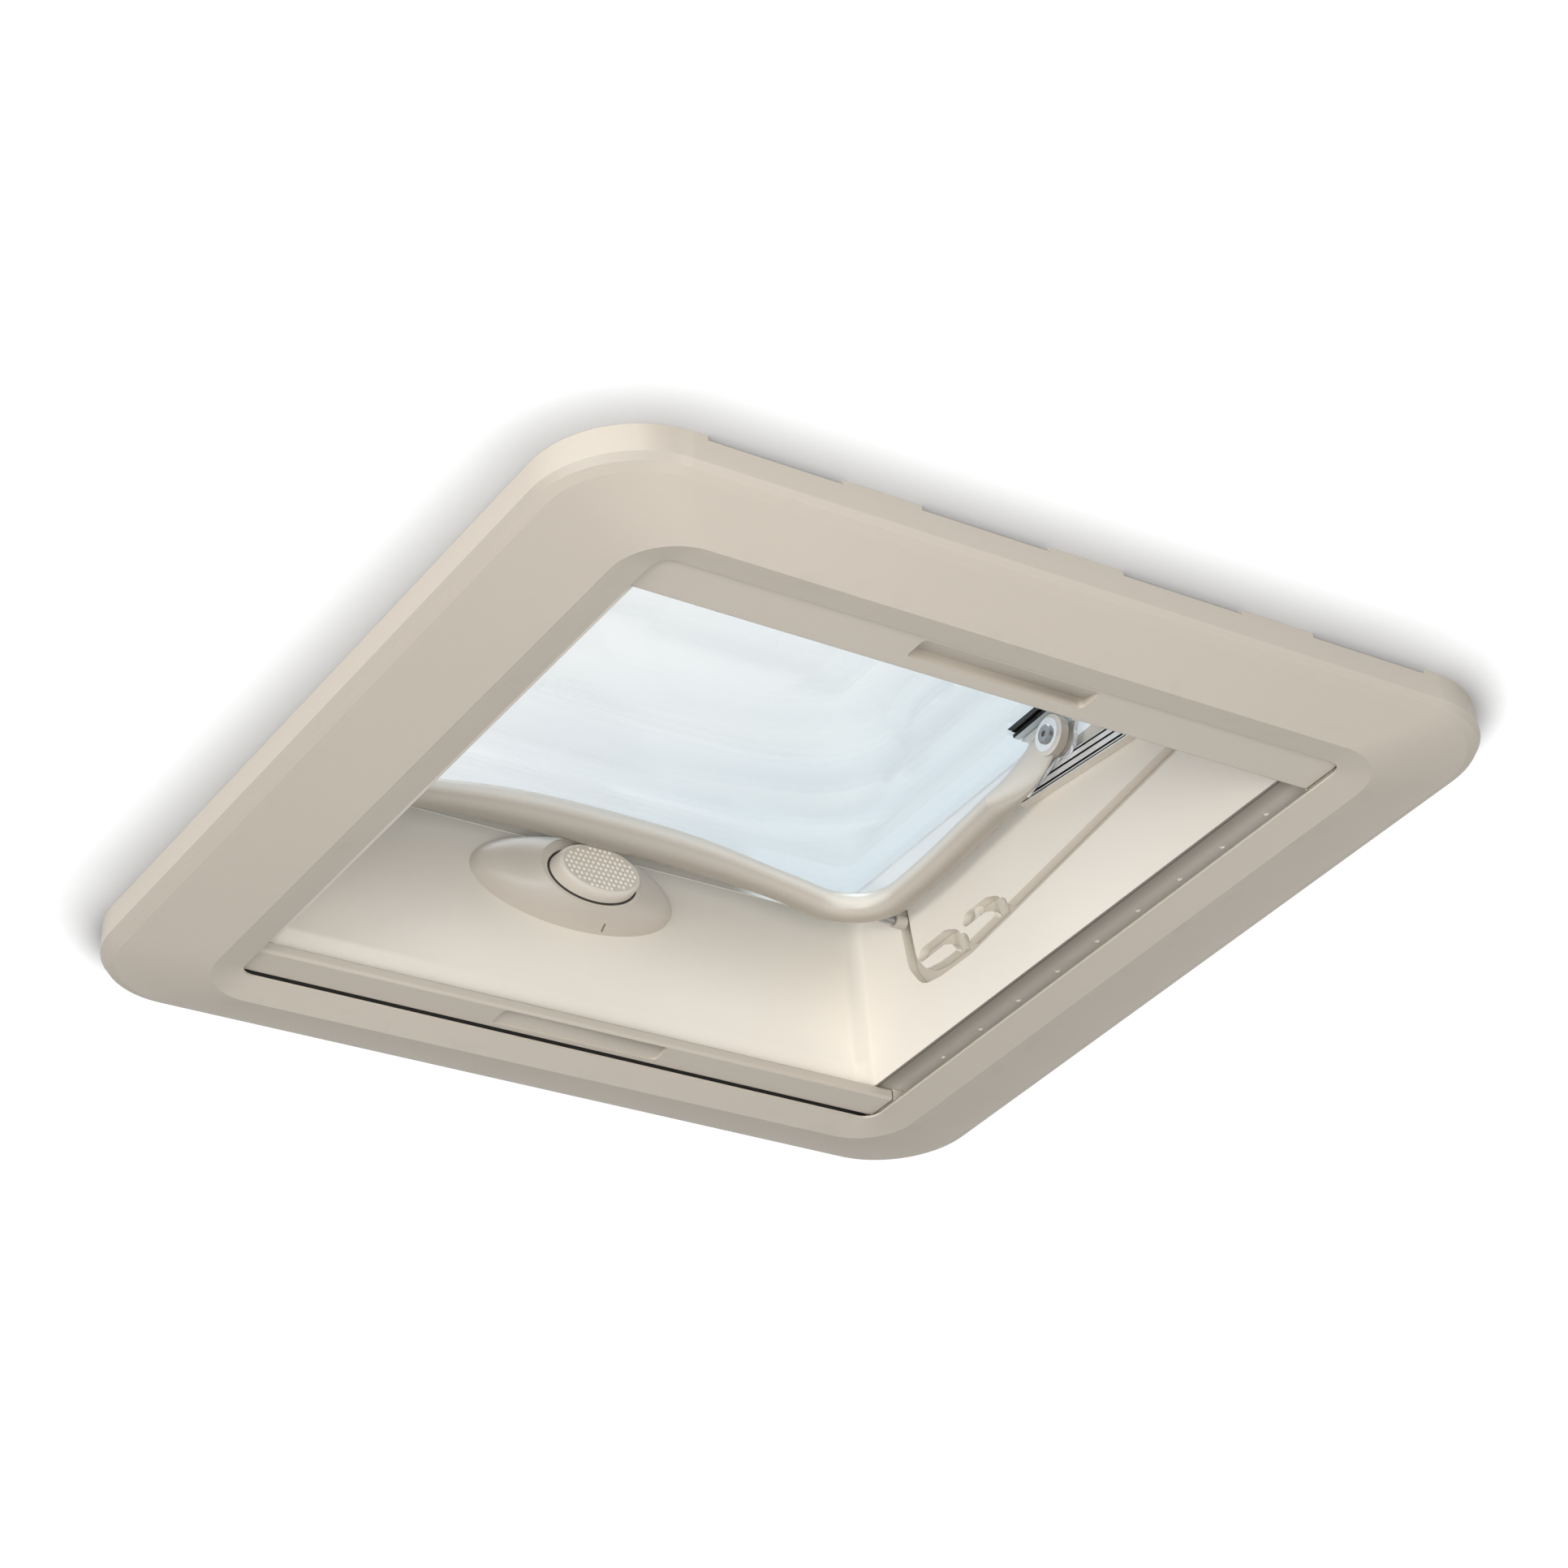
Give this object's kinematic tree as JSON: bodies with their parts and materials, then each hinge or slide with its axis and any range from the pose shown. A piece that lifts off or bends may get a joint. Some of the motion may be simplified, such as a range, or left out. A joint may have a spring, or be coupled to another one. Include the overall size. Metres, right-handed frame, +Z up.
{
  "type": "rv skylight",
  "caption": "Hinged roof light for a caravan, with a double clear dome, deep well, bow handle in guide grooves, push-button latch, pleated blinds and a ceiling frame.",
  "frame": {"origin": "middle of the opening at the lowest line of the ceiling frame", "axes": "+Z up to the sky, +Y towards the latch wall, the hinges at -Y"},
  "size_m": [0.5014, 0.4976, 0.166],
  "materials": {
    "frame_moulding": "fine satin moulding",
    "liner_moulding": "fine satin moulding",
    "roof_moulding": "satin moulding",
    "track_moulding": "satin moulding",
    "slat_moulding": "satin extrusion",
    "cap_moulding": "satin moulding",
    "bow_moulding": "fine satin moulding",
    "button_moulding": "satin, dotted pad",
    "hinge_moulding": "satin moulding",
    "inner_pane": "clear acrylic",
    "outer_pane": "clear acrylic",
    "seal_rubber": "matt",
    "gasket_rubber": "matt",
    "screw_steel": "zinc plated",
    "spring_steel": "spring steel",
    "bracket_steel": "zinc plated",
    "stay_steel": "drawn",
    "bright_steel": "polished",
    "blind_cloth": "pleated polyester",
    "screen_mesh": "pleated mesh"
  },
  "bodies": {
    "fixed_frame": {"ceiling_frame": "frame_moulding", "well_liner": "liner_moulding", "roof_frame": "roof_moulding", "roof_gasket": "gasket_rubber", "dome_seal": "seal_rubber", "liner_screws": "screw_steel", "frame_clips": "spring_steel", "hinge_pins": "screw_steel", "stay_pins": "screw_steel", "latch_housing": "liner_moulding", "latch_screws": "screw_steel", "button_spring": "spring_steel", "side_track_right": "track_moulding", "side_track_left": "track_moulding", "blind_pleats": "blind_cloth", "blind_anchor": "track_moulding", "screen_pleats": "screen_mesh", "screen_anchor": "track_moulding"},
    "dome": {"dome_outer": "outer_pane", "dome_inner": "inner_pane", "hinge_leaves": "hinge_moulding", "dome_rivets": "screw_steel", "bracket_pads": "inner_pane", "bracket_strips": "seal_rubber", "pivot_bracket_right": "bracket_steel", "pivot_bracket_left": "bracket_steel", "bow_screws": "bright_steel", "bow_spacers": "hinge_moulding", "bow_washers": "bright_steel"},
    "bow": {"bow_handle": "bow_moulding", "guide_pins": "screw_steel", "guide_rollers": "hinge_moulding"},
    "stay_bar_right": {"stay_bar_right": "stay_steel"},
    "stay_bar_left": {"stay_bar_left": "stay_steel"},
    "stay_channel_right": {"stay_channel_right": "bright_steel"},
    "stay_channel_left": {"stay_channel_left": "bright_steel"},
    "button": {"latch_button": "button_moulding"},
    "bolt": {"latch_bolt": "hinge_moulding"},
    "blind": {"blind_slat": "slat_moulding", "blind_caps": "cap_moulding"},
    "screen": {"screen_slat": "slat_moulding", "screen_caps": "cap_moulding"}
  },
  "joints": [
    {"name": "dome_hinge", "type": "hinge", "parent": "fixed_frame", "child": "dome", "pos_m": [0, -0.214, 0.106], "axis": [1, 0, 0], "range_deg": [0, 36]},
    {"name": "bow_pivot", "type": "hinge", "parent": "dome", "child": "bow", "pos_m": [0, -0.02, 0.1145], "axis": [1, 0, 0], "range_deg": [-113, 1]},
    {"name": "latch_press", "type": "slide", "parent": "fixed_frame", "child": "button", "axis": [0, 1, 0], "range_m": [0, 0.005], "stiffness_N_per_m": 600, "springref_m": -0.002, "deforming": ["button_spring"]},
    {"name": "bolt_slide", "type": "slide", "parent": "fixed_frame", "child": "bolt", "axis": [0, 1, 0], "range_m": [-0.0002, 0.0065]},
    {"name": "blind_slide", "type": "slide", "parent": "fixed_frame", "child": "blind", "axis": [0, 1, 0], "range_m": [0, 0.169], "deforming": ["blind_pleats"]},
    {"name": "screen_slide", "type": "slide", "parent": "fixed_frame", "child": "screen", "axis": [0, -1, 0], "range_m": [0, 0.169], "deforming": ["screen_pleats"]},
    {"name": "stay_turn_right", "type": "hinge", "parent": "fixed_frame", "child": "stay_bar_right", "pos_m": [0, -0.152, 0.0883], "axis": [1, 0, 0], "range_deg": [-1, 47]},
    {"name": "stay_slide_right", "type": "slide", "parent": "stay_bar_right", "child": "stay_channel_right", "axis": [0, 0.9949, 0.1013], "range_m": [-0.001, 0.03]},
    {"name": "stay_turn_left", "type": "hinge", "parent": "fixed_frame", "child": "stay_bar_left", "pos_m": [0, -0.152, 0.0883], "axis": [1, 0, 0], "range_deg": [-1, 47]},
    {"name": "stay_slide_left", "type": "slide", "parent": "stay_bar_left", "child": "stay_channel_left", "axis": [0, 0.9949, 0.1013], "range_m": [-0.001, 0.03]}
  ],
  "couplings": [
    {"joint": "bow_pivot", "follows": "dome_hinge", "ratio": -3.1},
    {"joint": "bolt_slide", "follows": "latch_press", "ratio": 1.2},
    {"joint": "stay_turn_right", "follows": "dome_hinge", "ratio": 1.2514},
    {"joint": "stay_slide_right", "follows": "dome_hinge", "m_per_rad": 0.04441},
    {"joint": "stay_turn_left", "follows": "dome_hinge", "ratio": 1.2514},
    {"joint": "stay_slide_left", "follows": "dome_hinge", "m_per_rad": 0.04441}
  ]
}
